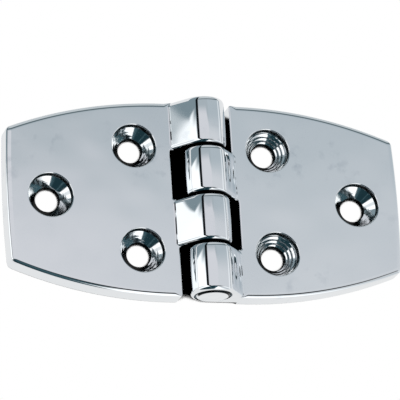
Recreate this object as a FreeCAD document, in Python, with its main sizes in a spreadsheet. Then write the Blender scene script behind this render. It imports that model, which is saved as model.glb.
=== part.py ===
import FreeCAD, Part
import math
import os

import Sketcher

from FreeCAD import Placement, Rotation, Vector

os.makedirs("parts", exist_ok=True)
doc = FreeCAD.newDocument("HatchHinge")

# Driving sizes in millimetres. Z is up from the base, Y runs along the pin, X across the leaves.
SIZES = {
    # the leaf, seen from above
    "LeafReach": 51.0,
    "HalfWidth": 25.5,
    "LeafThickness": 5.4,
    "SideStraight": 9.6,
    "SideCurve": 108.0,
    "EndCurve": 290.0,
    "CornerRound": 1.6,
    "EdgeRound": 0.9,
    "WallRound": 0.4,
    # the barrel and its four knuckles
    "BarrelRadius": 5.75,
    "AxisHeight": 6.4,
    "KnuckleGap": 0.4,
    "InnerNotch": 8.6,
    "EndNotch": 7.5,
    "NotchCorner": 1.2,
    "FootRadius": 0.8,
    "WebOverlap": 1.0,
    "KnuckleRound": 0.9,
    "KnuckleBevel": 0.7,
    # the riveted pin
    "PinRadius": 3.0,
    "PinHeadRadius": 4.35,
    "PinHeadDepth": 1.35,
    "PinDome": 0.4,
    "PinFlatRadius": 3.0,
    "RunningFit": 0.05,
    # the countersunk screw holes
    "ScrewRadius": 3.15,
    "SinkRadius": 5.65,
    "SinkLip": 1.7,
    "SinkDepth": 2.5,
    "OuterHoleX": 39.8,
    "SideHoleX": 17.9,
    "NotchSideHoleX": 17.05,
    "SideHoleY": 13.7,
}


def make_spreadsheet():
    sheet = doc.addObject("Spreadsheet::Sheet", "Sizes")
    for row, (alias, value) in enumerate(SIZES.items(), start=1):
        sheet.set("A%d" % row, alias)
        sheet.set("B%d" % row, str(value))
        sheet.setAlias("B%d" % row, alias)
    doc.addObject("Spreadsheet::Sheet", "Answers")
    doc.recompute()


def new_body(label):
    body = doc.addObject("PartDesign::Body", label)
    body.Label = label
    return body


def new_sketch(body, name, plane, offsets=None):
    """A sketch on one of the body's own planes, moved by expressions along its own x, y and z."""
    sketch = body.newObject("Sketcher::SketchObject", name)
    origin_plane = [f for f in body.Origin.OriginFeatures if f.Role == plane][0]
    sketch.AttachmentSupport = (origin_plane, [""])
    sketch.MapMode = "FlatFace"
    for axis, expression in (offsets or {}).items():
        sketch.setExpression("AttachmentOffset.Base." + axis, expression)
    doc.recompute()
    return sketch


# Helpers that tie sketch points to the spreadsheet


def value_of(expression):
    """The number that an expression of the spreadsheet gives, to draw a sketch near its answer."""
    doc.Answers.set("A1", "=" + expression)
    doc.Answers.recompute()
    return float(doc.Answers.get("A1"))


def bind(sketch, kind, *args):
    """Add a dimension whose last argument is an expression."""
    expression = args[-1]
    index = sketch.addConstraint(Sketcher.Constraint(kind, *args[:-1], value_of(expression)))
    sketch.setExpression("Constraints[%d]" % index, expression)


def pin_point(sketch, edge, end, across, along):
    """Fix one end of an edge at two expressions; None leaves that direction free, 0 is the axis."""
    for kind, axis, expression in (("DistanceX", -2, across), ("DistanceY", -1, along)):
        if expression is None:
            continue
        if expression == "0":
            sketch.addConstraint(Sketcher.Constraint("PointOnObject", edge, end, axis))
        else:
            bind(sketch, kind, -1, 1, edge, end, expression)


def polygon(sketch, corners):
    """A closed run of straight lines through corners given as pairs of expressions."""
    points = [Vector(value_of(a), value_of(b), 0) for a, b in corners]
    for i, start in enumerate(points):
        sketch.addGeometry(Part.LineSegment(start, points[(i + 1) % len(points)]), False)
    for i in range(len(points)):
        sketch.addConstraint(Sketcher.Constraint("Coincident", i, 2, (i + 1) % len(points), 1))
    for i, (across, along) in enumerate(corners):
        pin_point(sketch, i, 1, across, along)


def tangent_join(sketch, first, second):
    """The end of one edge runs smoothly into the start of the next."""
    sketch.addConstraint(Sketcher.Constraint("Tangent", first, 2, second, 1))


def arc(centre, radius, start, end):
    return Part.ArcOfCircle(Part.Circle(centre, Vector(0, 0, 1), radius), start, end)


def pad(body, sketch, length, both_ways=False):
    feature = body.newObject("PartDesign::Pad", sketch.Name + "Pad")
    feature.Profile = sketch
    feature.Midplane = both_ways
    feature.setExpression("Length", length)
    doc.recompute()
    return feature


def turn(body, sketch, kind, axis):
    """A full turn of a sketch about one of its own axes: Revolution adds, Groove cuts."""
    feature = body.newObject("PartDesign::" + kind, sketch.Name + kind)
    feature.Profile = sketch
    feature.ReferenceAxis = (sketch, [axis])
    feature.Angle = 360
    doc.recompute()
    return feature


def ease_edges(body, kind, name, size, chosen):
    """Round (Fillet) or bevel (Chamfer) the edges of the body's last shape that chosen(edge) picks."""
    base = body.Tip
    names = ["Edge%d" % (i + 1) for i, edge in enumerate(base.Shape.Edges) if chosen(edge)]
    feature = body.newObject("PartDesign::" + kind, name)
    feature.Base = (base, names)
    feature.setExpression("Radius" if kind == "Fillet" else "Size", size)
    doc.recompute()
    return feature


def lies_at(edge, axis, place):
    """True when the whole edge lies in the plane where one coordinate has this value."""
    box = edge.BoundBox
    low, high = {"x": (box.XMin, box.XMax), "y": (box.YMin, box.YMax), "z": (box.ZMin, box.ZMax)}[axis]
    return abs(low - place) < 1e-4 and abs(high - place) < 1e-4


# One leaf: a plate with curved sides, two knuckles on ramps, a bore and three screw holes


def knuckle_spans():
    """Where this leaf's inner and outer knuckles run along Y, as expressions of low and high end."""
    half_gap = "Sizes.KnuckleGap / 2"
    share = "Sizes.HalfWidth / 2"
    return {
        "Inner": (half_gap, "%s - %s" % (share, half_gap)),
        "Outer": ("-Sizes.HalfWidth", "-(%s) - %s" % (share, half_gap)),
    }


def draw_plate(sketch):
    """The outline from above: straight beside the barrel, then arcs to two corners and a bowed end."""
    half = value_of("Sizes.HalfWidth")
    straight = value_of("Sizes.SideStraight")
    side = value_of("Sizes.SideCurve")
    bow = value_of("Sizes.EndCurve")
    reach = value_of("Sizes.LeafReach")
    step = value_of(knuckle_spans()["Inner"][1])
    inner = value_of("Sizes.InnerNotch")
    end_notch = value_of("Sizes.EndNotch")

    # where the side arc meets the end arc
    across = (reach - bow) - straight
    along = half - side
    apart = math.hypot(across, along)
    from_side = (apart ** 2 + side ** 2 - bow ** 2) / (2 * apart)
    off_line = math.sqrt(side ** 2 - from_side ** 2)
    corner_x = straight + (from_side * across - off_line * along) / apart
    corner_y = (side - half) + (-from_side * along - off_line * across) / apart
    corner_y = -abs(corner_y) if corner_y > 0 else corner_y
    side_angle = math.atan2(corner_y - (side - half), corner_x - straight)
    end_angle = math.atan2(-corner_y, corner_x - (reach - bow))

    edges = [
        Part.LineSegment(Vector(inner, -half, 0), Vector(straight, -half, 0)),
        arc(Vector(straight, side - half, 0), side, -math.pi / 2, side_angle),
        arc(Vector(reach - bow, 0, 0), bow, -end_angle, end_angle),
        arc(Vector(straight, half - side, 0), side, -side_angle, math.pi / 2),
        Part.LineSegment(Vector(straight, half, 0), Vector(end_notch, half, 0)),
        Part.LineSegment(Vector(end_notch, half, 0), Vector(end_notch, step, 0)),
        Part.LineSegment(Vector(end_notch, step, 0), Vector(inner, step, 0)),
        Part.LineSegment(Vector(inner, step, 0), Vector(inner, -half, 0)),
    ]
    sketch.addGeometry(edges, False)
    for i, j in ((1, 2), (2, 3), (4, 5), (5, 6), (6, 7), (7, 0)):
        sketch.addConstraint(Sketcher.Constraint("Coincident", i, 2, j, 1))
    tangent_join(sketch, 0, 1)
    tangent_join(sketch, 3, 4)
    bind(sketch, "Radius", 1, "Sizes.SideCurve")
    bind(sketch, "Radius", 3, "Sizes.SideCurve")
    bind(sketch, "Radius", 2, "Sizes.EndCurve")
    pin_point(sketch, 2, 3, "Sizes.LeafReach - Sizes.EndCurve", "0")
    pin_point(sketch, 0, 1, "Sizes.InnerNotch", "-Sizes.HalfWidth")
    pin_point(sketch, 0, 2, "Sizes.SideStraight", "-Sizes.HalfWidth")
    pin_point(sketch, 4, 1, "Sizes.SideStraight", "Sizes.HalfWidth")
    pin_point(sketch, 4, 2, "Sizes.EndNotch", "Sizes.HalfWidth")
    pin_point(sketch, 5, 2, "Sizes.EndNotch", knuckle_spans()["Inner"][1])
    pin_point(sketch, 6, 2, "Sizes.InnerNotch", knuckle_spans()["Inner"][1])


def draw_knuckle(sketch):
    """The knuckle's section: a round barrel, a ramp down to the plate and a flat underside."""
    radius = value_of("Sizes.BarrelRadius")
    axis = value_of("Sizes.AxisHeight")
    top = value_of("Sizes.LeafThickness")
    foot = value_of("Sizes.FootRadius")
    wall = value_of("Sizes.InnerNotch")
    back = wall + value_of("Sizes.WebOverlap")

    # the ramp is the line that touches the barrel on one side and the foot's arc on the other
    rise = top + foot - axis
    apart = math.hypot(wall, rise)
    ramp = math.atan2(rise, wall) + math.acos((radius + foot) / apart)
    touch = Vector(math.cos(ramp), math.sin(ramp), 0)
    barrel = Vector(0, axis, 0)
    hollow = Vector(wall, top + foot, 0)

    edges = [
        arc(barrel, radius, ramp, 1.5 * math.pi),
        Part.LineSegment(Vector(0, axis - radius, 0), Vector(back, axis - radius, 0)),
        Part.LineSegment(Vector(back, axis - radius, 0), Vector(back, top, 0)),
        Part.LineSegment(Vector(back, top, 0), Vector(wall, top, 0)),
        arc(hollow, foot, ramp + math.pi, 1.5 * math.pi),
        Part.LineSegment(hollow - touch * foot, barrel + touch * radius),
    ]
    sketch.addGeometry(edges, False)
    for i, j in ((1, 2), (2, 3)):
        sketch.addConstraint(Sketcher.Constraint("Coincident", i, 2, j, 1))
    tangent_join(sketch, 0, 1)
    sketch.addConstraint(Sketcher.Constraint("Tangent", 3, 2, 4, 2))
    sketch.addConstraint(Sketcher.Constraint("Tangent", 4, 1, 5, 1))
    tangent_join(sketch, 5, 0)
    sketch.addConstraint(Sketcher.Constraint("Horizontal", 1))
    bind(sketch, "Radius", 0, "Sizes.BarrelRadius")
    bind(sketch, "Radius", 4, "Sizes.FootRadius")
    pin_point(sketch, 0, 3, "0", "Sizes.AxisHeight")
    pin_point(sketch, 3, 2, "Sizes.InnerNotch", "Sizes.LeafThickness")
    pin_point(sketch, 3, 1, "Sizes.InnerNotch + Sizes.WebOverlap", "Sizes.LeafThickness")
    sketch.addConstraint(Sketcher.Constraint("Vertical", 2))


def make_knuckle(leaf_label, place):
    """One knuckle with its ramp: its outer end is rounded, the ends inside the barrel are bevelled."""
    low, high = knuckle_spans()[place]
    body = new_body("%s_%s_knuckle" % (leaf_label, place.lower()))
    middle = "(%s + (%s)) / 2" % (low, high)
    sketch = new_sketch(body, "%s%sSection" % (leaf_label.title().replace("_", ""), place),
                        "XZ_Plane", {"z": "-(%s)" % middle})
    draw_knuckle(sketch)
    doc.recompute()
    pad(body, sketch, "(%s) - (%s)" % (high, low), both_ways=True)

    back = value_of("Sizes.InnerNotch + Sizes.WebOverlap")
    ends = [value_of(low), value_of(high)]

    def around(end):
        return lambda edge: lies_at(edge, "y", end) and not lies_at(edge, "x", back)

    if place == "Outer":
        ease_edges(body, "Fillet", sketch.Name + "Round", "Sizes.KnuckleRound", around(ends.pop(0)))
    for number, end in enumerate(ends):
        ease_edges(body, "Chamfer", "%sBevel%d" % (sketch.Name, number), "Sizes.KnuckleBevel", around(end))
    return body


def cut_bore(body, name, fit):
    """The pin's bore through both knuckles, with a countersink in the outer end for its head."""
    sketch = new_sketch(body, name, "YZ_Plane", {"y": "Sizes.AxisHeight"})
    bore = "Sizes.PinRadius + %s" % fit
    sink = "Sizes.PinHeadRadius + %s" % fit
    polygon(sketch, [
        ("-Sizes.HalfWidth", "0"),
        ("-Sizes.HalfWidth", sink),
        ("-Sizes.HalfWidth + Sizes.PinHeadDepth", bore),
        ("Sizes.HalfWidth", bore),
        ("Sizes.HalfWidth", "0"),
    ])
    doc.recompute()
    turn(body, sketch, "Groove", "H_Axis")


def cut_screw_hole(body, name, across, along):
    """A countersunk hole: a short straight lip, a cone for the screw's head, then the shank's hole."""
    sketch = new_sketch(body, name, "XZ_Plane",
                        {"x": across, "y": "Sizes.LeafThickness", "z": "-(%s)" % along})
    cone_foot = "-Sizes.SinkLip - Sizes.SinkDepth"
    polygon(sketch, [
        ("0", "0"),
        ("Sizes.SinkRadius", "0"),
        ("Sizes.SinkRadius", "-Sizes.SinkLip"),
        ("Sizes.ScrewRadius", cone_foot),
        ("Sizes.ScrewRadius", "-Sizes.LeafThickness"),
        ("0", "-Sizes.LeafThickness"),
    ])
    doc.recompute()
    turn(body, sketch, "Groove", "V_Axis")


def make_leaf(label, fit, turned):
    """A leaf that reaches along +X; the other leaf is the same casting turned half round."""
    short = label.title().replace("_", "")
    knuckles = [make_knuckle(label, place) for place in ("Inner", "Outer")]
    body = new_body(label)
    outline = new_sketch(body, short + "Outline", "XY_Plane")
    draw_plate(outline)
    doc.recompute()
    pad(body, outline, "Sizes.LeafThickness")

    top = value_of("Sizes.LeafThickness")
    half = value_of("Sizes.HalfWidth")
    end_notch = value_of("Sizes.EndNotch")
    inner = value_of("Sizes.InnerNotch")
    far = value_of("Sizes.LeafReach") / 2

    def upright(edge):
        return abs(edge.BoundBox.ZLength - top) < 1e-4 and edge.BoundBox.XLength < 1e-4

    ease_edges(body, "Fillet", short + "Corners", "Sizes.CornerRound",
               lambda edge: upright(edge) and edge.BoundBox.XMin > far)
    ease_edges(body, "Fillet", short + "NotchCorner", "Sizes.NotchCorner",
               lambda edge: upright(edge) and lies_at(edge, "x", end_notch) and lies_at(edge, "y", half))
    ease_edges(body, "Fillet", short + "Rim", "Sizes.EdgeRound",
               lambda edge: lies_at(edge, "z", top) and edge.BoundBox.XMax > inner + 1e-3
               and not lies_at(edge, "y", value_of(knuckle_spans()["Inner"][1])))
    ease_edges(body, "Fillet", short + "Wall", "Sizes.WallRound",
               lambda edge: lies_at(edge, "z", top) and lies_at(edge, "x", inner))

    join = body.newObject("PartDesign::Boolean", short + "Knuckles")
    join.Type = "Fuse"
    join.setObjects(knuckles)
    doc.recompute()

    cut_bore(body, short + "Bore", fit)
    holes = {
        "OuterHole": ("Sizes.OuterHoleX", "0"),
        "KnuckleSideHole": ("Sizes.SideHoleX", "-Sizes.SideHoleY"),
        "NotchSideHole": ("Sizes.NotchSideHoleX", "Sizes.SideHoleY"),
    }
    for name, (across, along) in holes.items():
        cut_screw_hole(body, short + name, across, along)
    if turned:
        body.Placement = Placement(Vector(0, 0, 0), Rotation(Vector(0, 0, 1), 180))
    doc.recompute()
    return body


# The pin: a shaft whose two ends are riveted out into the countersinks, with low domes and a flat middle


def make_pin():
    body = new_body("hinge_pin")
    sketch = new_sketch(body, "PinSection", "YZ_Plane", {"y": "Sizes.AxisHeight"})
    half = value_of("Sizes.HalfWidth")
    head = value_of("Sizes.PinHeadRadius")
    shaft = value_of("Sizes.PinRadius")
    neck = half - value_of("Sizes.PinHeadDepth")
    dome = value_of("Sizes.PinDome")
    flat = value_of("Sizes.PinFlatRadius")
    tip = half + dome

    # each dome is an arc about the pin's own line, from the head's rim to a small flat at its middle
    ball_centre = (tip ** 2 + flat ** 2 - half ** 2 - head ** 2) / (2 * dome)
    ball = math.hypot(tip - ball_centre, flat)
    inner = math.atan2(flat, tip - ball_centre)
    outer = math.atan2(head, half - ball_centre)

    edges = [
        Part.LineSegment(Vector(-tip, 0, 0), Vector(tip, 0, 0)),
        Part.LineSegment(Vector(tip, 0, 0), Vector(tip, flat, 0)),
        arc(Vector(ball_centre, 0, 0), ball, inner, outer),
        Part.LineSegment(Vector(half, head, 0), Vector(neck, shaft, 0)),
        Part.LineSegment(Vector(neck, shaft, 0), Vector(-neck, shaft, 0)),
        Part.LineSegment(Vector(-neck, shaft, 0), Vector(-half, head, 0)),
        arc(Vector(-ball_centre, 0, 0), ball, math.pi - outer, math.pi - inner),
        Part.LineSegment(Vector(-tip, flat, 0), Vector(-tip, 0, 0)),
    ]
    sketch.addGeometry(edges, False)
    dome_end = "Sizes.HalfWidth + Sizes.PinDome"
    neck_end = "Sizes.HalfWidth - Sizes.PinHeadDepth"
    for i, j, end in ((0, 1, 1), (1, 2, 1), (3, 4, 1), (4, 5, 1), (6, 7, 1), (7, 0, 1)):
        sketch.addConstraint(Sketcher.Constraint("Coincident", i, 2, j, end))
    sketch.addConstraint(Sketcher.Constraint("Coincident", 2, 2, 3, 1))
    sketch.addConstraint(Sketcher.Constraint("Coincident", 5, 2, 6, 1))
    pin_point(sketch, 0, 1, "-(%s)" % dome_end, "0")
    pin_point(sketch, 0, 2, dome_end, "0")
    pin_point(sketch, 1, 2, dome_end, "Sizes.PinFlatRadius")
    pin_point(sketch, 7, 1, "-(%s)" % dome_end, "Sizes.PinFlatRadius")
    pin_point(sketch, 2, 3, None, "0")
    pin_point(sketch, 6, 3, None, "0")
    pin_point(sketch, 3, 1, "Sizes.HalfWidth", "Sizes.PinHeadRadius")
    pin_point(sketch, 3, 2, neck_end, "Sizes.PinRadius")
    pin_point(sketch, 4, 2, "-(%s)" % neck_end, "Sizes.PinRadius")
    pin_point(sketch, 5, 2, "-Sizes.HalfWidth", "Sizes.PinHeadRadius")
    doc.recompute()
    turn(body, sketch, "Revolution", "H_Axis")
    return body


def check_and_export(pieces):
    for obj in doc.Objects:
        if "Invalid" in obj.State or "Error" in obj.State:
            raise RuntimeError("%s is %s" % (obj.Label, obj.State))
    for piece in pieces:
        if piece.Shape.isNull() or not piece.Shape.isValid():
            raise RuntimeError("%s has no valid shape" % piece.Label)
        if len(piece.Shape.Solids) != 1:
            raise RuntimeError("%s is %d solids" % (piece.Label, len(piece.Shape.Solids)))
        piece.Shape.exportStep("parts/%s.step" % piece.Label)
        box = piece.Shape.BoundBox
        print(piece.Label, "volume %.1f mm3" % piece.Shape.Volume,
              "from (%.2f %.2f %.2f)" % (box.XMin, box.YMin, box.ZMin),
              "to (%.2f %.2f %.2f)" % (box.XMax, box.YMax, box.ZMax))


make_spreadsheet()
left_leaf = make_leaf("left_leaf", "0", turned=True)
right_leaf = make_leaf("right_leaf", "Sizes.RunningFit", turned=False)
hinge_pin = make_pin()
doc.recompute()
check_and_export([left_leaf, right_leaf, hinge_pin])
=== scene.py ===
import math

import bpy
from bpy.props import FloatProperty, FloatVectorProperty, PointerProperty
from mathutils import Matrix, Vector
from mathutils.geometry import tessellate_polygon


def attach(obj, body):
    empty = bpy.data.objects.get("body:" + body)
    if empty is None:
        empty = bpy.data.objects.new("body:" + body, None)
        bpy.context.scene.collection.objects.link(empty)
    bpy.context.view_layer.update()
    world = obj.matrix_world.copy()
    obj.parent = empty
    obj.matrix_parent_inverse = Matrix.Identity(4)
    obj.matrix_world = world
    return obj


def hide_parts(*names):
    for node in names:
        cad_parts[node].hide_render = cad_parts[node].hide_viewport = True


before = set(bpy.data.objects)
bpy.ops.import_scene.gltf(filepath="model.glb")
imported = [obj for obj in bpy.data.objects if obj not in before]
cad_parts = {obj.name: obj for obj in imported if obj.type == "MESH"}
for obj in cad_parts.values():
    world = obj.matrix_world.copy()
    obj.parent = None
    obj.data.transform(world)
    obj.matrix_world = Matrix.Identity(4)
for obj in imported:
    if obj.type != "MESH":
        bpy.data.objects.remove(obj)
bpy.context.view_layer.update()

bl_info = {
    "name": "Hatch hinge",
    "version": (1, 0, 0),
    "blender": (4, 5, 0),
    "location": "3D View > Sidebar > Hatch hinge",
    "description": "Dresses the packed hatch hinge and sets its studio",
    "category": "Object",
}

MM = 0.001


class HingeSizes(bpy.types.PropertyGroup):
    """Sizes of one casting, of its worn edges and of the pin, in millimetres."""

    reach: FloatProperty(name="Leaf reach", default=51.0)
    half_width: FloatProperty(name="Half width", default=25.5)
    thickness: FloatProperty(name="Leaf thickness", default=5.4)
    straight: FloatProperty(name="Straight beside the barrel", default=9.6)
    side_curve: FloatProperty(name="Side arc radius", default=108.0)
    end_curve: FloatProperty(name="End arc radius", default=290.0)
    corner: FloatProperty(name="Corner radius", default=1.6)
    barrel: FloatProperty(name="Barrel radius", default=5.75)
    axis: FloatProperty(name="Axis height", default=6.4)
    gap: FloatProperty(name="Gap between knuckles", default=0.4)
    inner_notch: FloatProperty(name="Inner notch wall", default=8.6)
    end_notch: FloatProperty(name="End notch wall", default=7.5)
    notch_corner: FloatProperty(name="Notch corner radius", default=0.5)
    foot: FloatProperty(name="Foot radius of the ramp", default=0.8)
    tongue: FloatProperty(name="Where the plate ends under the ramp", default=7.6)
    crown: FloatProperty(name="Crown of a knuckle", default=0.11)
    steps: FloatProperty(name="Depth of the steps that the countersink cutter left", default=0.04)
    hollow: FloatProperty(name="Depth of the hollows in the right leaf's ramps", default=0.2)
    rim_slow: FloatProperty(name="Worn rim, upper radius", default=2.8)
    rim_quick: FloatProperty(name="Worn rim, lower radius", default=0.7)
    rim_turn: FloatProperty(name="Worn rim, where it tightens", default=20.0)
    end_slow: FloatProperty(name="Knuckle end, upper radius", default=1.8)
    end_quick: FloatProperty(name="Knuckle end, lower radius", default=0.75)
    end_turn: FloatProperty(name="Knuckle end, where it tightens", default=24.0)
    lip: FloatProperty(name="Rounding of a hole's lip", default=0.3)
    sink: FloatProperty(name="Countersink radius", default=5.65)
    sink_lip: FloatProperty(name="Straight lip depth", default=1.7)
    sink_depth: FloatProperty(name="Cone depth", default=2.5)
    screw: FloatProperty(name="Screw hole radius", default=3.15)
    pin: FloatProperty(name="Pin radius", default=3.0)
    pin_head: FloatProperty(name="Pin head radius", default=4.3)
    pin_reach: FloatProperty(name="Half length of the pin", default=25.9)


# the right leaf's screw holes, the low steps in two of their cones, and the ramps' hollows
HOLES = ((39.8, 0.0), (17.9, -13.7), (17.05, 13.7))
STEPS, STEP_ROWS = 3, 30
HOLLOWS, RAMP_ROWS = 2, 40
# points round a hole and round the pin's heads, and rows down a worn edge
ROUND, PIN_ROUND, EDGE_ROWS = 64, 96, 26
# a piece's materials, in the order in which settle gives them; the third paints shade on walls deep
# in the holes and bores
POLISHED, TURNED, SHADED_WALLS = 0, 1, 2


class HingeFinish(bpy.types.PropertyGroup):
    """Colours and roughness of the polished castings and of the pin."""

    steel: FloatVectorProperty(name="Steel", subtype="COLOR", default=(0.86, 0.885, 0.905))
    tarnish: FloatVectorProperty(name="Tarnish", subtype="COLOR", default=(0.70, 0.735, 0.77))
    turned: FloatVectorProperty(name="Countersink", subtype="COLOR", default=(0.92, 0.94, 0.95))
    grooves: FloatVectorProperty(name="Grooves", subtype="COLOR", default=(0.30, 0.36, 0.39))
    # painted shade: the dark tone of walls deep in the holes and bores
    deep: FloatVectorProperty(name="Deep walls' painted shade", subtype="COLOR", default=(0.34, 0.42, 0.45))
    # painted shade: the near black laid into the joints, round the pin's heads and on the deep
    # walls
    painted_shade: FloatVectorProperty(name="Painted shade", subtype="COLOR", default=(0.008, 0.011, 0.013))
    polish: FloatProperty(name="Polish roughness", default=0.035)
    haze: FloatProperty(name="Haze roughness", default=0.11)
    wave: FloatProperty(name="Casting waviness", default=0.25)


class HingeStudio(bpy.types.PropertyGroup):
    """The floor's tone, and the camera's lens and distance."""

    floor_tone: FloatProperty(name="Floor tone", default=0.92)
    lens: FloatProperty(name="Lens", unit="CAMERA", default=308.99)
    distance: FloatProperty(name="Camera distance", unit="LENGTH", default=858.37 * MM)


def add(tree, kind, **sockets):
    """Adds a node and sets its unlinked sockets by name."""
    node = tree.nodes.new(kind)
    for name, value in sockets.items():
        node.inputs[name].default_value = value
    return node


def put(tree, value, socket):
    """Links an output to the socket, or sets a plain number on it."""
    if isinstance(value, bpy.types.NodeSocket):
        tree.links.new(value, socket)
    else:
        socket.default_value = value


def calc(tree, kind, *values):
    """A Math node of the given operation."""
    node = tree.nodes.new("ShaderNodeMath")
    node.operation = kind
    for place, value in enumerate(values):
        put(tree, value, node.inputs[place])
    return node.outputs[0]


def ramp(tree, value, start, end):
    """0 below start, 1 above end, smooth in between; start may lie above end."""
    node = tree.nodes.new("ShaderNodeMapRange")
    node.interpolation_type = "SMOOTHSTEP"
    put(tree, value, node.inputs["Value"])
    node.inputs["From Min"].default_value = start
    node.inputs["From Max"].default_value = end
    return node.outputs[0]


def band(tree, value, low, high, soft):
    """1 between low and high, with soft sides."""
    rise = ramp(tree, value, low - soft, low + soft)
    fall = ramp(tree, value, high + soft, high - soft)
    return calc(tree, "MULTIPLY", rise, fall)


def both(tree, one, other):
    """The product of two shares."""
    return calc(tree, "MULTIPLY", one, other)


def larger(tree, first, *others):
    """The largest of some values."""
    for other in others:
        first = calc(tree, "MAXIMUM", first, other)
    return first


def away_from(tree, value, place):
    """How far a value lies from a place, to either side."""
    return calc(tree, "ABSOLUTE", calc(tree, "SUBTRACT", value, place))


def length(tree, one, other):
    """The length of the slope over two measures at right angles."""
    squares = both(tree, one, one), both(tree, other, other)
    return calc(tree, "SQRT", calc(tree, "ADD", *squares))


def split(tree, vector):
    """The x, y and z of a vector."""
    parts = add(tree, "ShaderNodeSeparateXYZ")
    tree.links.new(vector, parts.inputs[0])
    return parts.outputs


def over(tree, under, colour, share):
    """Lays a colour over another by a share."""
    node = tree.nodes.new("ShaderNodeMix")
    node.data_type = "RGBA"
    put(tree, share, node.inputs["Factor"])
    # a Mix node has its two colours at inputs 6 and 7 and the mixed one at output 2
    for place, value in ((6, under), (7, colour)):
        plain = not isinstance(value, bpy.types.NodeSocket)
        put(tree, (*value, 1.0) if plain else value, node.inputs[place])
    return node.outputs[2]


def noise(tree, coords, seed, scale, detail):
    """Noise over the object's own coordinates."""
    node = tree.nodes.new("ShaderNodeTexNoise")
    node.noise_dimensions = "4D"
    node.inputs["W"].default_value = seed
    node.inputs["Scale"].default_value = scale
    node.inputs["Detail"].default_value = detail
    tree.links.new(coords.outputs["Object"], node.inputs["Vector"])
    return node.outputs["Fac"]


def make_steel(name, finish, seed):
    """Mirror-polished cast steel with slow waves, faint cloudy tarnish, and painted shade in its
    joints.
    """
    material, tree, coords, shader = new_metal(name)
    patch = ramp(tree, noise(tree, coords, seed, scale=45.0, detail=3.0), 0.52, 0.78)
    specks = ramp(tree, noise(tree, coords, seed + 7.0, scale=320.0, detail=3.0), 0.50, 0.72)
    cloud = ramp(tree, noise(tree, coords, seed + 9.0, scale=48.0, detail=2.0), 0.52, 0.68)
    stain = calc(tree, "ADD", both(tree, specks, cloud), both(tree, patch, 0.3))
    colour = over(tree, tuple(finish.steel), tuple(finish.tarnish), stain)
    # painted shade: near black laid over the knuckles' joints and the pin heads' edges, and a
    # broken dark line in the ramps' creases
    colour = over(tree, colour, tuple(finish.painted_shade), painted_shade_mask(tree, coords))
    tree.links.new(colour, shader.inputs["Base Color"])
    rough = calc(tree, "MULTIPLY_ADD", patch, finish.haze - finish.polish, finish.polish)
    tree.links.new(rough, shader.inputs["Roughness"])
    waves = noise(tree, coords, seed + 3.0, scale=60.0, detail=1.0)
    add_bump(tree, shader, waves, strength=finish.wave, distance=0.0004)
    return material


def new_metal(name):
    """A metal's material, with its tree, its coordinates and its shader."""
    material = bpy.data.materials.new(name)
    material.use_nodes = True
    tree = material.node_tree
    tree.nodes.clear()
    coords = add(tree, "ShaderNodeTexCoord")
    shader = add(tree, "ShaderNodeBsdfPrincipled", Metallic=1.0)
    out = add(tree, "ShaderNodeOutputMaterial")
    tree.links.new(shader.outputs[0], out.inputs[0])
    return material, tree, coords, shader


def add_bump(tree, shader, height, strength, distance):
    """Leans a shader's normal by a height."""
    bump = add(tree, "ShaderNodeBump", Strength=strength, Distance=distance)
    tree.links.new(height, bump.inputs["Height"])
    tree.links.new(bump.outputs[0], shader.inputs["Normal"])


def painted_shade_mask(tree, coords):
    """1 where shade is painted: in the joints between the knuckles and round the upper edge of the
    pin's heads; also along a broken dark line in the ramps' creases.
    """
    # in metres; the joints lie in the middle and two eighths of the width to each side of it
    eighth, axis, foot = 0.006375, 0.0064, 0.00815
    x, y, z = split(tree, coords.outputs["Object"])
    aside = calc(tree, "ABSOLUTE", y)
    away = away_from(tree, away_from(tree, aside, eighth), eighth)
    rise = calc(tree, "SUBTRACT", z, axis)
    reach = length(tree, x, rise)
    # painted shade in the joints between the knuckles, inside the barrel's radius
    joint = both(tree, ramp(tree, away, 0.00062, 0.00042), ramp(tree, reach, 0.0064, 0.0060))
    # a broken dark line in the crease at each ramp's foot, on top of the plate
    crease = away_from(tree, calc(tree, "ABSOLUTE", x), foot)
    crease = both(tree, ramp(tree, crease, 0.00022, 0.00008), ramp(tree, z, 0.0054, 0.00545))
    broken = ramp(tree, noise(tree, coords, 21.0, scale=420.0, detail=2.0), 0.50, 0.58)
    crease = both(tree, crease, broken)
    # painted shade round the upper edge of each pin head, beyond the knuckles' ends
    rim = both(tree, ramp(tree, reach, 0.00372, 0.00380), ramp(tree, reach, 0.0046, 0.0044))
    rim = both(tree, rim, ramp(tree, aside, 0.0248, 0.0250))
    rim = both(tree, rim, ramp(tree, rise, -0.0003, 0.0009))
    return larger(tree, joint, crease, rim)


def make_machined(name, finish):
    """The countersinks: turned after casting, so a little brighter, with faint fine rings."""
    material, tree, coords, shader = new_metal(name)
    height = split(tree, coords.outputs["Object"])[2]
    rings = add(tree, "ShaderNodeTexNoise", Scale=1700.0, Detail=2.0)
    rings.noise_dimensions = "1D"
    tree.links.new(height, rings.inputs["W"])
    marks = ramp(tree, rings.outputs["Fac"], 0.42, 0.66)
    colour = over(tree, tuple(finish.turned), tuple(finish.grooves), both(tree, marks, 0.06))
    tree.links.new(colour, shader.inputs["Base Color"])
    tree.links.new(calc(tree, "MULTIPLY_ADD", marks, 0.08, 0.05), shader.inputs["Roughness"])
    add_bump(tree, shader, rings.outputs["Fac"], strength=0.15, distance=0.00009)
    return material


def make_shaded_walls(name, finish, seed):
    """Painted shade for walls deep in the holes and the knuckles' bores: dark, dull, a little
    uneven.
    """
    material, tree, coords, shader = new_metal(name)
    patch = noise(tree, coords, seed, scale=900.0, detail=2.0)
    # painted shade: the deep walls' dark tone, mottled with near black
    colour = over(tree, tuple(finish.painted_shade), tuple(finish.deep), ramp(tree, patch, 0.35, 0.75))
    tree.links.new(colour, shader.inputs["Base Color"])
    tree.links.new(calc(tree, "MULTIPLY_ADD", patch, 0.3, 0.2), shader.inputs["Roughness"])
    add_bump(tree, shader, patch, strength=0.3, distance=0.00005)
    return material


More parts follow.
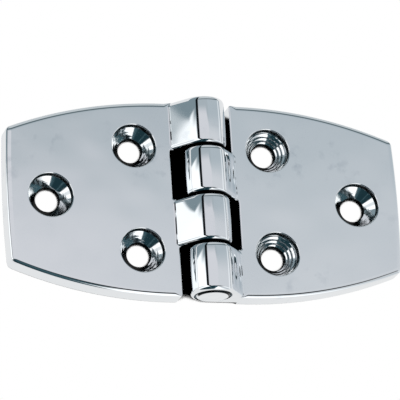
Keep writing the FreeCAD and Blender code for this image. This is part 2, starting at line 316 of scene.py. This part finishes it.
class Skin:
    """Surface points with their normals, in millimetres; points that agree are shared."""

    def __init__(self):
        self.places, self.normals, self.faces, self.known = [], [], [], {}
        self.finish, self.finishes = POLISHED, []

    def point(self, place, normal):
        key = tuple(round(v, 4) for v in place) + tuple(round(v, 2) for v in normal)
        if key not in self.known:
            self.known[key] = len(self.places)
            self.places.append(tuple(place))
            self.normals.append(tuple(normal))
        return self.known[key]

    def face(self, corners):
        """Adds a face, wound so that it looks the way its normals do."""
        corners = list(dict.fromkeys(corners))
        if len(corners) < 3:
            return
        at = [Vector(self.places[c]) for c in corners]
        way = (at[1] - at[0]).cross(at[2] - at[0])
        if len(at) == 4:
            way = (at[2] - at[0]).cross(at[3] - at[1])
        if way.length < 1e-8:
            return
        look = sum((Vector(self.normals[c]) for c in corners), Vector())
        self.faces.append(corners if way.dot(look) > 0 else corners[::-1])
        self.finishes.append(self.finish)

    def strips(self, rows, closed):
        """Quads between neighbouring rows of points."""
        for one, other in zip(rows, rows[1:]):
            for i in range(len(one) - (0 if closed else 1)):
                j = (i + 1) % len(one)
                self.face([one[i], one[j], other[j], other[i]])

    def fill(self, loops, normal, lift):
        """A flat face between an outer loop and its holes; lift turns a flat point into a place."""
        flat = [[Vector((a, b, 0)) for a, b in loop] for loop in loops]
        corners = [self.point(lift(a, b), normal) for loop in loops for a, b in loop]
        for three in tessellate_polygon(flat):
            self.face([corners[i] for i in three])

    def make(self, name, turned=False):
        """The mesh object, in metres; turned gives it a half turn about the vertical."""
        side = -1.0 if turned else 1.0
        mesh = bpy.data.meshes.new(name)
        places = [(side * x * MM, side * y * MM, z * MM) for x, y, z in self.places]
        mesh.from_pydata(places, [], self.faces)
        mesh.polygons.foreach_set("use_smooth", [True] * len(mesh.polygons))
        mesh.polygons.foreach_set("material_index", self.finishes)
        normals = [(side * x, side * y, z) for x, y, z in self.normals]
        mesh.normals_split_custom_set_from_vertices(normals)
        mesh.update()
        piece = bpy.data.objects.new(name, mesh)
        bpy.context.scene.collection.objects.link(piece)
        return piece


def soft_edge(slow, quick, change):
    """A worn edge from flat to upright, a slow curve and then a quick one: (angle, along, drop)."""
    turn, along, drop, rows = 0.0, 0.0, 0.0, [(0.0, 0.0, 0.0)]
    stride, blend = math.pi / 2 / EDGE_ROWS, 0.04
    for _ in range(EDGE_ROWS):
        middle = turn + stride / 2
        share = 1 / (1 + math.exp((middle - change) / blend))
        radius = quick + (slow - quick) * share
        along += radius * math.cos(middle) * stride
        drop += radius * math.sin(middle) * stride
        turn += stride
        rows.append((turn, along, drop))
    return rows


def arc_points(centre, radius, start, end, steps):
    """Points of an arc, with normals out of the metal, which is inside an anticlockwise arc."""
    side = 1.0 if end > start else -1.0
    points = []
    for i in range(steps + 1):
        a = start + (end - start) * i / steps
        c, d = math.cos(a), math.sin(a)
        points.append((centre[0] + radius * c, centre[1] + radius * d, side * c, side * d))
    return points


def plate_outline(sizes):
    """The right leaf's outline from above, anticlockwise, as (x, y, normal x, normal y)."""
    half, straight, side, r = sizes.half_width, sizes.straight, sizes.side_curve, sizes.corner
    wall, end, n, tongue = sizes.inner_notch, sizes.end_notch, sizes.notch_corner, sizes.tongue
    inner_low, inner_high = sizes.gap / 2, (half - sizes.gap) / 2
    outer_high = -(half + sizes.gap) / 2
    quarter = math.pi / 2
    small, sharp = 0.5, 0.06
    # steps of an arc: at a tongue's tip, in a notch, at a far corner and along a bowed side
    few, some, more, many = 4, 8, 12, 60
    # places along the straight sides beside the barrel, close enough for the worn rim to run out
    ledge = (7.9, 8.2, 8.5, 8.8, 9.1, 9.4)

    # the corner's centre lies inside both arcs by the corner's radius
    arc_y = half - side
    bow_x = sizes.reach - sizes.end_curve
    apart = math.hypot(straight - bow_x, arc_y)
    ra, rb = side - r, sizes.end_curve - r
    along = (rb ** 2 - ra ** 2 + apart ** 2) / (2 * apart)
    across = math.sqrt(rb ** 2 - along ** 2)
    ux, uy = (straight - bow_x) / apart, arc_y / apart
    cx, cy = bow_x + along * ux - across * uy, along * uy + across * ux
    from_side = math.atan2(cy - arc_y, cx - straight)
    from_end = math.atan2(cy, cx - bow_x)

    points = arc_points((tongue + sharp, -half + sharp), sharp, -2 * quarter, -quarter, few)
    points += [(x, -half, 0.0, -1.0) for x in ledge]
    points += arc_points((straight, side - half), side, -quarter, -from_side, many)
    points += arc_points((cx, -cy), r, -from_side, -from_end, more)
    points += arc_points((bow_x, 0), sizes.end_curve, -from_end, from_end, many)
    points += arc_points((cx, cy), r, from_end, from_side, more)
    points += arc_points((straight, half - side), side, from_side, quarter, many)
    points += [(x, half, 0.0, 1.0) for x in ledge[:0:-1]]
    points += arc_points((end + small, half - small), small, quarter, 2 * quarter, some)
    points += arc_points((end - n, inner_high + n), n, 0.0, -quarter, some)
    points += arc_points((tongue + sharp, inner_high - sharp), sharp, quarter, 2 * quarter, few)
    points += arc_points((tongue + sharp, inner_low + sharp), sharp, -2 * quarter, -quarter, few)
    points += arc_points((wall - n, inner_low - n), n, quarter, 0.0, some)
    points += arc_points((wall - n, outer_high + n), n, 0.0, -quarter, some)
    points += arc_points((tongue + sharp, outer_high - sharp), sharp, quarter, 2 * quarter, few)
    return points


def turns(count):
    """The angles of so many points round a circle."""
    return [2 * math.pi * i / count for i in range(count)]


def ring(centre, radius):
    """A circle of flat points."""
    x, y = centre
    return [(x + radius * math.cos(b), y + radius * math.sin(b)) for b in turns(ROUND)]


def quarter_turn(steps=6):
    """The angles of a rounding from flat to upright."""
    return [math.pi / 2 * i / steps for i in range(steps + 1)]


def add_plate(skin, sizes, steps):
    """The flat plate with its worn rim, its notches and its countersunk holes."""
    top, half = sizes.thickness, sizes.half_width
    outline = plate_outline(sizes)
    rim = soft_edge(sizes.rim_slow, sizes.rim_quick, math.radians(sizes.rim_turn))
    reach = rim[-1][1]
    little, run_out, hair = 0.27, 8.0, 0.01

    def share(x, y):
        """How much of the worn rim a place has: all of it outside, little in the notches."""
        if x >= sizes.straight:
            return 1.0
        if abs(y) < half - hair:
            return little
        step = max(0.0, min(1.0, (x - run_out) / (sizes.straight - run_out)))
        return little + (1 - little) * step * step * (3 - 2 * step)

    rows = []
    for turn, along, drop in rim:
        row = []
        for x, y, nx, ny in outline:
            part = share(x, y)
            inset = (reach - along) * part
            place = (x - nx * inset, y - ny * inset, top - drop * part)
            look = (nx * math.sin(turn), ny * math.sin(turn), math.cos(turn))
            row.append(skin.point(place, look))
        rows.append(row)
    foot = 0.3
    for turn in quarter_turn():
        c, d = math.cos(turn), math.sin(turn)
        inset, z = foot * (1 - c), foot * (1 - d)
        rows.append([
            skin.point((x - nx * inset, y - ny * inset, z), (nx * c, ny * c, -d))
            for x, y, nx, ny in outline
        ])
    skin.strips(rows, closed=True)

    lip = sizes.lip
    upper = [skin.places[i][:2] for i in rows[0]]
    lower = [skin.places[i][:2] for i in rows[-1]]
    rims = [ring(c, sizes.sink + lip) for c in HOLES]
    bores = [ring(c, sizes.screw) for c in HOLES]
    skin.fill([upper] + rims, (0, 0, 1), lambda a, b: (a, b, top))
    skin.fill([lower] + bores, (0, 0, -1), lambda a, b: (a, b, 0.0))
    for centre in HOLES:
        add_screw_hole(skin, sizes, centre, steps)


def add_screw_hole(skin, sizes, centre, steps):
    """A rounded lip, a short straight wall, a cone, stepped beside the barrel, and the bore."""
    top, lip, sink, screw = sizes.thickness, sizes.lip, sizes.sink, sizes.screw
    shelf = top - sizes.sink_lip
    seat = shelf - sizes.sink_depth
    slope = math.atan2(sizes.sink_depth, sink - screw)
    edge = [
        (sink + lip * (1 - math.sin(a)), top - lip * (1 - math.cos(a)), a)
        for a in quarter_turn()
    ]
    # a soft hollow between the wall and the cone
    hollow, bend_rows = 0.45, 6
    bends = [(math.pi / 2 - slope) * i / bend_rows for i in range(bend_rows + 1)]
    high = shelf + hollow * math.tan((math.pi / 2 - slope) / 2)
    curve = [
        (sink - hollow * (1 - math.cos(b)), high - hollow * math.sin(b), math.pi / 2 - b)
        for b in bends
    ]
    # the cone ends a little above the bore, and a short bevel leads over to it
    ledge, bevel = 0.12, 0.08
    foot = (screw + ledge, seat + ledge * math.tan(slope), slope)
    cone = [curve[-1], foot]
    if centre[1]:
        # the cutter left low steps in the cones of the two holes beside the barrel
        start = curve[-1]
        slant = math.hypot(start[0] - foot[0], start[1] - foot[1])
        cone = []
        for i in range(STEP_ROWS + 1):
            t = i / STEP_ROWS
            phase = 2 * math.pi * STEPS * t
            cut = steps * (0.5 - 0.5 * math.cos(phase))
            tip = math.atan(steps * math.pi * STEPS / slant * math.sin(phase))
            r = start[0] + (foot[0] - start[0]) * t + cut * math.sin(slope)
            z = start[1] + (foot[1] - start[1]) * t - cut * math.cos(slope)
            cone.append((r, z, slope + tip))
    bore = [cone[-1], (screw, seat - bevel, math.pi / 2), (screw, 0.0, math.pi / 2)]
    # the lip's straight wall, its hollow and the bore get the painted shade of deep walls
    sections = ((POLISHED, edge), (SHADED_WALLS, [edge[-1]] + curve), (TURNED, cone), (SHADED_WALLS, bore))
    for finish, section in sections:
        skin.finish = finish
        rows = []
        for radius, z, a in section:
            row = []
            for b in turns(ROUND):
                c, d = math.cos(b), math.sin(b)
                place = (centre[0] + radius * c, centre[1] + radius * d, z)
                row.append(skin.point(place, (-c * math.sin(a), -d * math.sin(a), math.cos(a))))
            rows.append(row)
        skin.strips(rows, closed=True)
    skin.finish = POLISHED


def knuckle_section(sizes):
    """Ramp and barrel from the plate to the underside, as rows of seven numbers.

    They are x and z, the normal's x and z, the crown's share, and the hollow's depth and slope.
    """
    wall, top, axis = sizes.inner_notch, sizes.thickness, sizes.axis
    overlap, sunk = 0.6, 0.02
    rise = top + sizes.foot - axis
    ramp = math.atan2(rise, wall) + math.acos((sizes.barrel + sizes.foot) / math.hypot(wall, rise))
    nx, nz = math.cos(ramp), math.sin(ramp)
    points = [(wall + overlap, top - sunk, 0.0, 1.0)]
    points += arc_points((wall, top + sizes.foot), sizes.foot, -math.pi / 2, ramp - math.pi, 12)
    low = Vector((wall - sizes.foot * nx, top + sizes.foot * (1 - nz)))
    high = Vector((sizes.barrel * nx, axis + sizes.barrel * nz))
    waves = {}
    for i in range(1, RAMP_ROWS):
        at = low.lerp(high, i / RAMP_ROWS)
        phase = 2 * math.pi * HOLLOWS * i / RAMP_ROWS
        waves[len(points)] = (0.5 - 0.5 * math.cos(phase), math.sin(phase))
        points.append((at.x, at.y, nx, nz))
    steep = math.pi * HOLLOWS / (high - low).length
    points += arc_points((0.0, axis), sizes.barrel, ramp, 1.5 * math.pi, 96)
    points += [(wall + overlap, axis - sizes.barrel, 0.0, -1.0)]
    # the crown is whole over the barrel and fades out down the ramp
    barrel_side, fade = 4.0, 4.6
    section = []
    for i, (x, z, nx, nz) in enumerate(points):
        part = 1.0 if x < barrel_side else max(0.0, min(1.0, (z - top) / fade)) ** 2
        wave, tip = waves.get(i, (0.0, 0.0))
        section.append((x, z, nx, nz, part, wave, tip * steep))
    return section


def add_knuckle(skin, sizes, low, high, outer, hollow):
    """A crowned knuckle on its ramp, with worn ends; the outer one seats the pin's head."""
    section = knuckle_section(sizes)
    short, strips = 0.02, 24
    low, high = low + short, high - short
    edge = soft_edge(sizes.end_slow, sizes.end_quick, math.radians(sizes.end_turn))
    reach = edge[-1][1]
    middle = (low + high) / 2
    half = (high - low) / 2 - reach
    stations = [(low + reach - along, -1.0, drop, turn) for turn, along, drop in edge[::-1]]
    for i in range(1, strips):
        u = -1 + 2 * i / strips
        stations.append((middle + half * u, u, 0.0, 0.0))
    stations += [(high - reach + along, 1.0, drop, turn) for turn, along, drop in edge]

    rows = []
    for y, u, drop, turn in stations:
        row = []
        dip = hollow * (1 - u * u)
        for x, z, nx, nz, part, wave, tip in section:
            inset = drop + sizes.crown * part * u * u + dip * (1 - u * u) * wave
            lean = math.atan((2 * sizes.crown * part - 4 * dip * wave) * abs(u) / half)
            lean = turn + lean * (1 - turn / (math.pi / 2))
            c, d = math.cos(lean), math.copysign(1.0, u) * math.sin(lean)
            tilt = math.atan2(nz, nx) + math.atan(dip * (1 - u * u) * tip)
            look = (math.cos(tilt) * c, d, math.sin(tilt) * c)
            row.append(skin.point((x - nx * inset, y, z - nz * inset), look))
        rows.append(row)
    skin.strips(rows, closed=False)

    axis = (0.0, sizes.axis)
    seat_room, bore_room, deep = 0.5, 0.04, 1.2
    shaft = sizes.pin + bore_room
    for row, y, side in ((rows[0], low, -1.0), (rows[-1], high, 1.0)):
        seated = outer and side < 0
        bore = sizes.pin_head + seat_room if seated else shaft
        loop = [(skin.places[i][0], skin.places[i][2]) for i in row]
        skin.fill([loop, ring(axis, bore)], (0.0, side, 0.0), lambda a, b, y=y: (a, y, b))
        walls = []
        for at in (y, y - side * deep):
            walls.append([
                skin.point((a, at, b), (-a / bore, 0.0, (axis[1] - b) / bore))
                for a, b in ring(axis, bore)
            ])
        # the knuckles' bore walls and the floor of the head's seat get painted shade; the seat's
        # wall stays polished
        skin.finish = POLISHED if seated else SHADED_WALLS
        skin.strips(walls, closed=True)
        skin.finish = SHADED_WALLS
        if seated:
            seat = [
                [skin.point((a, y + deep, b), (0.0, -1.0, 0.0)) for a, b in ring(axis, radius)]
                for radius in (bore, shaft)
            ]
            skin.strips(seat, closed=True)
        skin.finish = POLISHED


def make_leaf(name, sizes, turned):
    """One cast leaf; both leaves are the same casting, the left one given a half turn."""
    skin = Skin()
    # the left leaf's holes were cut more cleanly, and its ramps are flat
    steps, hollow = (sizes.steps * 0.2, 0.0) if turned else (sizes.steps, sizes.hollow)
    add_plate(skin, sizes, steps)
    half, gap = sizes.half_width, sizes.gap / 2
    add_knuckle(skin, sizes, gap, half / 2 - gap, outer=False, hollow=hollow)
    add_knuckle(skin, sizes, -half, -half / 2 - gap, outer=True, hollow=hollow)
    return skin.make(name, turned)


def make_pin(name, sizes):
    """The riveted pin: a shaft with a low domed head at each end, and in it the tool's ring."""
    skin = Skin()
    head, reach, edge, skirt = sizes.pin_head, sizes.pin_reach, 0.75, 0.5
    depth, middle, width, dome = 0.16, 1.75, 0.34, 0.005
    head_rows = 32
    section = []
    for i in range(head_rows + 1):
        r = (head - edge) * i / head_rows
        dent = depth * math.exp(-(((r - middle) / width) ** 2))
        slope = dent * 2 * (r - middle) / width ** 2 - 2 * dome * r
        section.append((r, reach - dent - dome * r * r, math.atan(-slope)))
    shoulder = section[-1][1]
    for a in quarter_turn(8)[1:]:
        section.append((head - edge + edge * math.sin(a), shoulder - edge * (1 - math.cos(a)), a))
    section.append((head, shoulder - edge - skirt, math.pi / 2))
    for side in (-1.0, 1.0):
        rows = []
        for radius, y, a in section:
            row = []
            for b in turns(PIN_ROUND):
                c, d = math.cos(b), math.sin(b)
                place = (radius * c, side * y, sizes.axis + radius * d)
                look = (c * math.sin(a), side * math.cos(a), d * math.sin(a))
                row.append(skin.point(place, look))
            rows.append(row)
        skin.strips(rows, closed=True)
    shaft = []
    for y in (-shoulder + edge, shoulder - edge):
        shaft.append([
            skin.point((a, y, b), (a / sizes.pin, 0.0, (b - sizes.axis) / sizes.pin))
            for a, b in ring((0.0, sizes.axis), sizes.pin)
        ])
    skin.strips(shaft, closed=True)
    return skin.make(name)


def make_world():
    """The studio tent: pale panels, a grey ceiling and the dark gaps that polished metal shows."""
    world = bpy.data.worlds.new("Studio")
    bpy.context.scene.world = world
    world.use_nodes = True
    tree = world.node_tree
    tree.nodes.clear()
    way = add(tree, "ShaderNodeTexCoord")
    x, y, z = split(tree, way.outputs["Generated"])
    tilt = calc(tree, "MULTIPLY", calc(tree, "ARCTAN2", x, z), 180 / math.pi)

    white = (1.25, 1.27, 1.28)
    pale = (0.715, 0.72, 0.755)
    dusk = (0.43, 0.485, 0.52)
    flank = (0.68, 0.70, 0.73)
    dull = (0.46, 0.52, 0.56)
    teal = (0.13, 0.20, 0.235)
    dark = (0.004, 0.006, 0.008)
    wall = (0.60, 0.64, 0.66)
    rail = (0.07, 0.11, 0.125)
    left_panel = (0.80, 0.83, 0.85)
    front_corner = (0.56, 0.60, 0.63)
    cloth_dark, cloth_light = (0.012, 0.034, 0.044), (0.12, 0.21, 0.24)
    cloth_side = (0.05, 0.10, 0.12)

    # the grey ceiling panel, darker towards the back right
    rightward = calc(tree, "MINIMUM", larger(tree, x, 0.09), 0.22)
    lean = calc(tree, "MULTIPLY_ADD", rightward, 0.35, y)
    tone = over(tree, pale, dusk, ramp(tree, lean, 0.385, 0.435))
    flank = over(tree, flank, dull, ramp(tree, y, 0.27, 0.37))
    tone = over(tree, tone, flank, ramp(tree, x, 0.21, 0.30))
    tone = over(tree, tone, white, both(tree, band(tree, tilt, 76, 82, 3), 0.5))
    tone = over(tree, tone, teal, both(tree, band(tree, tilt, 88, 95, 3), 0.75))
    # the back wall, with a dark rail at its top and a darker band low down
    tone = over(tree, tone, wall, ramp(tree, y, 0.50, 0.80))
    tone = over(tree, tone, rail, both(tree, band(tree, y, 0.50, 0.68, 0.04), 0.9))
    low_band = band(tree, z, -0.05, 0.12, 0.05)
    tone = over(tree, tone, teal, both(tree, ramp(tree, y, 0.6, 0.8), low_band))

    # the ceiling panel ends at a dark seam, and beyond it are the white panels left and in front
    bend = larger(tree, calc(tree, "SUBTRACT", 0.22, y), 0.0)
    left = calc(tree, "ADD", calc(tree, "MULTIPLY_ADD", bend, -41.0, tilt), 39.0)
    ahead = calc(tree, "MULTIPLY_ADD", y, 57.0, 10.3)
    seam = calc(tree, "SMOOTH_MIN", left, ahead, 6.0)
    beyond = ramp(tree, seam, 0.0, -2.0)
    tone = over(tree, tone, white, beyond)
    low = calc(tree, "MULTIPLY_ADD", calc(tree, "ADD", tilt, 45.0), -0.0011, y)
    deeper = calc(tree, "MULTIPLY_ADD", ramp(tree, left, -34, -8), 0.8, 0.1)
    side = both(tree, ramp(tree, low, 0.315, 0.365), deeper)
    top = both(tree, ramp(tree, low, 0.376, 0.391), 0.92)
    fade = both(tree, ramp(tree, left, -15, -3), ramp(tree, low, 0.25, 0.35))
    side = larger(tree, side, top, fade)
    tone = over(tree, tone, teal, both(tree, side, ramp(tree, left, 0.0, -4.0)))
    line = both(tree, ramp(tree, calc(tree, "ABSOLUTE", seam), 7.5, 4.5), ramp(tree, tilt, 50, 20))
    tone = over(tree, tone, dark, line)
    dim = both(tree, band(tree, y, -0.12, 0.12, 0.06), ramp(tree, z, 0.55, 0.42))
    tone = over(tree, tone, left_panel, both(tree, dim, ramp(tree, tilt, -44, -50)))
    flat = length(tree, x, y)
    aside = calc(tree, "DIVIDE", x, flat)
    corner = both(tree, ramp(tree, aside, 0.45, 0.8), ramp(tree, y, -0.2, -0.4))
    tone = over(tree, tone, front_corner, corner)

    # the camera and who stands behind it
    facing = calc(tree, "ADD", both(tree, x, -0.545), both(tree, y, -0.839))
    facing = calc(tree, "DIVIDE", facing, flat)
    stand = both(tree, ramp(tree, facing, 0.78, 0.84), ramp(tree, z, 0.93, 0.88))
    near = calc(tree, "ADD", both(tree, x, -0.15), both(tree, y, -0.36))
    near = ramp(tree, calc(tree, "MULTIPLY_ADD", z, 0.92, near), 0.94, 0.962)
    folds = add(tree, "ShaderNodeTexNoise", Scale=3.5, Detail=3.0)
    tree.links.new(way.outputs["Generated"], folds.inputs["Vector"])
    cloth = over(tree, cloth_dark, cloth_light, ramp(tree, folds.outputs["Fac"], 0.52, 0.76))
    cloth = over(tree, cloth, cloth_side, both(tree, ramp(tree, aside, -0.30, -0.06), 0.85))
    tone = over(tree, tone, cloth, larger(tree, stand, near))

    # the metal sees the tent, the camera a plain white
    light = add(tree, "ShaderNodeBackground", Strength=1.0)
    tree.links.new(tone, light.inputs["Color"])
    plain = add(tree, "ShaderNodeBackground", Color=(1.0, 1.0, 1.0, 1.0), Strength=1.0)
    path = add(tree, "ShaderNodeLightPath")
    mixed = add(tree, "ShaderNodeMixShader")
    tree.links.new(path.outputs["Is Camera Ray"], mixed.inputs[0])
    tree.links.new(light.outputs[0], mixed.inputs[1])
    tree.links.new(plain.outputs[0], mixed.inputs[2])
    out = add(tree, "ShaderNodeOutputWorld")
    tree.links.new(mixed.outputs[0], out.inputs[0])


def make_lamp():
    """A wide soft lamp above the left; the metal doesn't mirror it, but shows the tent."""
    data = bpy.data.lights.new("soft_lamp", "AREA")
    data.shape = "SQUARE"
    data.size = 1.2
    data.energy = 12.0
    lamp = bpy.data.objects.new("soft_lamp", data)
    bpy.context.scene.collection.objects.link(lamp)
    place = Vector((-0.45, -0.25, 1.1))
    turn = place.to_track_quat("Z", "Y").to_matrix().to_4x4()
    lamp.matrix_world = Matrix.Translation(place) @ turn
    lamp.visible_glossy = False
    lamp.visible_camera = False


def hinge_footprint(tree):
    """1 on the floor that the open hinge covers, where the metal would mirror its own shadow."""
    # in metres: the straight sides' length, the bowed sides' diameter and the half width, less 1 mm
    straight, bow, half_width = 0.0096, 0.216, 0.0245
    place = add(tree, "ShaderNodeNewGeometry")
    x, y, _ = split(tree, place.outputs["Position"])
    across = calc(tree, "ABSOLUTE", x)
    along = calc(tree, "ABSOLUTE", y)
    past = larger(tree, calc(tree, "SUBTRACT", across, straight), 0.0)
    edge = calc(tree, "MULTIPLY_ADD", both(tree, past, past), -1 / bow, half_width)
    inside = ramp(tree, calc(tree, "SUBTRACT", edge, along), 0.0, 0.001)
    return both(tree, inside, ramp(tree, across, 0.050, 0.049))


def make_floor(settings):
    """A plain pale floor, white to the camera and in the metal, that keeps the shadow."""
    wide, front, back, depth = 3.0, -1.7, 3.5, -0.0001
    corners = [(-wide, front, depth), (wide, front, depth), (0.0, back, depth)]
    mesh = bpy.data.meshes.new("floor")
    mesh.from_pydata(corners, [], [(0, 1, 2)])
    floor = bpy.data.objects.new("floor", mesh)
    bpy.context.scene.collection.objects.link(floor)
    material = bpy.data.materials.new("floor_paper")
    material.use_nodes = True
    tree = material.node_tree
    tree.nodes.clear()
    shade = add(tree, "ShaderNodeAmbientOcclusion", Distance=0.02)
    shade.samples = 48
    open_sky = ramp(tree, shade.outputs["AO"], 0.37, 0.43)
    paper = add(tree, "ShaderNodeBsdfDiffuse", Color=(settings.floor_tone,) * 3 + (1.0,))
    path = add(tree, "ShaderNodeLightPath")
    camera = path.outputs["Is Camera Ray"]
    mirrored = larger(tree, path.outputs["Is Glossy Ray"], path.outputs["Is Transmission Ray"])
    covered = hinge_footprint(tree)
    under = both(tree, covered, mirrored)
    # in the metal the floor is a little greyer, and nearly black where the hinge covers it
    greyer, blacker = 0.14, 0.84
    level = calc(tree, "MULTIPLY_ADD", mirrored, -greyer, 1.0)
    level = calc(tree, "SUBTRACT", level, both(tree, under, blacker))
    glow = add(tree, "ShaderNodeEmission", Color=(1.0, 1.0, 1.0, 1.0))
    tree.links.new(both(tree, open_sky, level), glow.inputs["Strength"])
    mixed = add(tree, "ShaderNodeMixShader")
    tree.links.new(larger(tree, camera, mirrored), mixed.inputs[0])
    tree.links.new(paper.outputs[0], mixed.inputs[1])
    tree.links.new(glow.outputs[0], mixed.inputs[2])
    # the camera sees the white backdrop through all but the floor's shadow, so that a leaf that
    # folds down still shows; the floor is clear from below and where the underside touches it
    below = add(tree, "ShaderNodeNewGeometry")
    clear = add(tree, "ShaderNodeBsdfTransparent")
    shown = add(tree, "ShaderNodeMixShader")
    seen = both(tree, larger(tree, below.outputs["Backfacing"], open_sky), camera)
    touching = both(tree, ramp(tree, path.outputs["Ray Length"], 0.00022, 0.00016), under)
    tree.links.new(larger(tree, seen, touching), shown.inputs[0])
    tree.links.new(mixed.outputs[0], shown.inputs[1])
    tree.links.new(clear.outputs[0], shown.inputs[2])
    out = add(tree, "ShaderNodeOutputMaterial")
    tree.links.new(shown.outputs[0], out.inputs[0])
    mesh.materials.append(material)


def make_camera(settings):
    """A long lens from the front left, high above the hinge."""
    data = bpy.data.cameras.new("camera")
    data.lens = settings.lens
    data.sensor_width = 36.0
    camera = bpy.data.objects.new("camera", data)
    bpy.context.scene.collection.objects.link(camera)
    right = Vector((0.96122, -0.05883, 0.26942))
    up = Vector((-0.03314, 0.94526, 0.32463))
    back = Vector((-0.27377, -0.32097, 0.90666))
    # it looks a little left of and below the middle of the leaves' top face
    aim, left, down = Vector((0, 0, 5.4 * MM)), 1.48 * MM, 0.066 * MM
    centre = aim - right * left - up * down + back * settings.distance
    turn = Matrix((right, up, back)).transposed().to_4x4()
    camera.matrix_world = Matrix.Translation(centre) @ turn
    data.clip_start = 0.01
    data.clip_end = 20.0
    bpy.context.scene.camera = camera


def settle(piece, node, body, finish, seed):
    """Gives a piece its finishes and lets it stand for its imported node."""
    piece.data.materials.append(make_steel(node + "_polished", finish, seed))
    piece.data.materials.append(make_machined(node + "_turned", finish))
    # the third material paints shade on walls deep in the holes and bores
    piece.data.materials.append(make_shaded_walls(node + "_deep", finish, seed))
    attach(piece, body)
    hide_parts(node)


class HINGE_OT_left_leaf(bpy.types.Operator):
    """Make the left leaf"""

    bl_idname = "hinge.left_leaf"
    bl_label = "Left leaf"

    def execute(self, context):
        scene = context.scene
        piece = make_leaf("left_leaf_casting", scene.hinge_sizes, turned=True)
        settle(piece, "left_leaf", "left", scene.hinge_finish, seed=0.0)
        return {"FINISHED"}


class HINGE_OT_right_leaf(bpy.types.Operator):
    """Make the right leaf"""

    bl_idname = "hinge.right_leaf"
    bl_label = "Right leaf"

    def execute(self, context):
        scene = context.scene
        piece = make_leaf("right_leaf_casting", scene.hinge_sizes, turned=False)
        settle(piece, "right_leaf", "right", scene.hinge_finish, seed=7.0)
        return {"FINISHED"}


class HINGE_OT_pin(bpy.types.Operator):
    """Make the riveted pin"""

    bl_idname = "hinge.pin"
    bl_label = "Pin"

    def execute(self, context):
        scene = context.scene
        piece = make_pin("riveted_pin", scene.hinge_sizes)
        settle(piece, "hinge_pin", "left", scene.hinge_finish, seed=13.0)
        return {"FINISHED"}


class HINGE_OT_studio(bpy.types.Operator):
    """Set the floor, the studio light and the camera"""

    bl_idname = "hinge.studio"
    bl_label = "Set the studio"

    def execute(self, context):
        settings = context.scene.hinge_studio
        context.scene.view_settings.view_transform = "Standard"
        make_world()
        make_lamp()
        make_floor(settings)
        make_camera(settings)
        return {"FINISHED"}


class HINGE_PT_panel(bpy.types.Panel):
    """A button for each piece and one for the studio"""

    bl_idname = "HINGE_PT_panel"
    bl_label = "Hatch hinge"
    bl_space_type = "VIEW_3D"
    bl_region_type = "UI"
    bl_category = "Hatch hinge"

    def draw(self, context):
        column = self.layout.column()
        for kind in OPERATORS:
            column.operator(kind.bl_idname)


GROUPS = (("hinge_sizes", HingeSizes), ("hinge_finish", HingeFinish), ("hinge_studio", HingeStudio))
OPERATORS = (HINGE_OT_left_leaf, HINGE_OT_right_leaf, HINGE_OT_pin, HINGE_OT_studio)


def register():
    for name, kind in GROUPS:
        bpy.utils.register_class(kind)
        setattr(bpy.types.Scene, name, PointerProperty(type=kind))
    for kind in OPERATORS + (HINGE_PT_panel,):
        bpy.utils.register_class(kind)


def unregister():
    for kind in (HINGE_PT_panel,) + OPERATORS[::-1]:
        bpy.utils.unregister_class(kind)
    for name, kind in GROUPS[::-1]:
        delattr(bpy.types.Scene, name)
        bpy.utils.unregister_class(kind)


def main():
    register()
    bpy.ops.hinge.left_leaf()
    bpy.ops.hinge.right_leaf()
    bpy.ops.hinge.pin()
    bpy.ops.hinge.studio()


if __name__ == "__main__":
    main()
